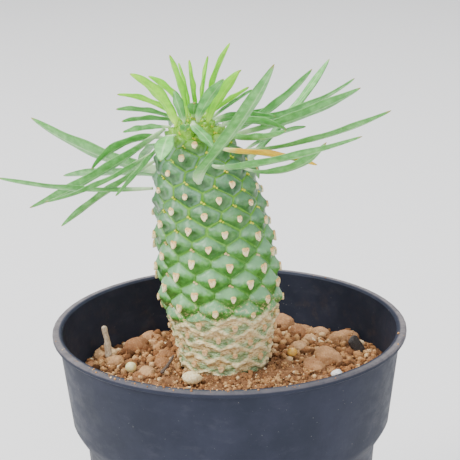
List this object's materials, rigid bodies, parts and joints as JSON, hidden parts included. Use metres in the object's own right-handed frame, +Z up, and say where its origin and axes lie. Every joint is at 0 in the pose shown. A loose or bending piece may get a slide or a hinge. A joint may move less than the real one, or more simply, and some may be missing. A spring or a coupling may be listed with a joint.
{
  "type": "potted euphorbia",
  "caption": "Cone-like succulent trunk of spiralled tubercles with a crown of strap leaves, in a round plastic nursery pot with soil.",
  "frame": {"origin": "middle of the pot's flat base, on the surface it stands on", "axes": "+Z up along the pot's axis, -Y towards the front as seen, +X to the right"},
  "size_m": [0.1017, 0.09, 0.1542],
  "materials": {
    "pot_plastic": "satin matte, dusty",
    "trunk_skin": "waxy living plant skin",
    "soil": "rough, crumbly",
    "pumice": "rough",
    "pale_pellet": "smooth resin coat",
    "amber_pellet": "smooth resin coat",
    "perlite": "rough",
    "bark": "rough",
    "dry_wood": "rough, dry",
    "dark_wood": "rough, dry",
    "old_leaf": "waxy living leaf, grey bloom",
    "young_leaf": "satin living leaf",
    "dry_leaf": "dry leaf"
  },
  "bodies": {
    "root": {"pot": "pot_plastic", "trunk": "trunk_skin", "potting_soil": "soil", "pumice_pebble": "pumice", "fertiliser_pellet_left": "pale_pellet", "fertiliser_pellet_right": "amber_pellet", "perlite_crumb": "perlite", "bark_chip": "bark", "root_stub": "dry_wood", "twig": "dark_wood", "leaf_01": "old_leaf", "leaf_02": "old_leaf", "leaf_03": "old_leaf", "leaf_04": "old_leaf", "leaf_05": "old_leaf", "leaf_06": "old_leaf", "leaf_07": "old_leaf", "leaf_08": "old_leaf", "leaf_09": "old_leaf", "leaf_10": "old_leaf", "leaf_11": "old_leaf", "leaf_12": "old_leaf", "leaf_13": "young_leaf", "leaf_14": "young_leaf", "leaf_15": "young_leaf", "leaf_16": "old_leaf", "leaf_17": "young_leaf", "leaf_18": "young_leaf", "leaf_19": "young_leaf", "leaf_20": "young_leaf", "leaf_21": "young_leaf", "leaf_22": "old_leaf", "leaf_23": "young_leaf", "leaf_24": "young_leaf", "leaf_25": "young_leaf", "leaf_26": "old_leaf", "leaf_27": "old_leaf", "leaf_28": "old_leaf", "leaf_29": "old_leaf", "leaf_30": "old_leaf", "leaf_31": "old_leaf", "leaf_32": "old_leaf", "leaf_33": "old_leaf", "leaf_34": "old_leaf", "leaf_35": "old_leaf", "leaf_36": "old_leaf", "leaf_37": "old_leaf", "leaf_38": "old_leaf", "leaf_39": "dry_leaf", "leaf_40": "old_leaf", "leaf_41": "old_leaf", "leaf_42": "old_leaf", "leaf_43": "old_leaf", "leaf_44": "old_leaf", "leaf_45": "old_leaf", "leaf_46": "old_leaf", "leaf_47": "old_leaf", "leaf_48": "old_leaf", "leaf_49": "old_leaf", "leaf_50": "old_leaf"}
  },
  "joints": []
}
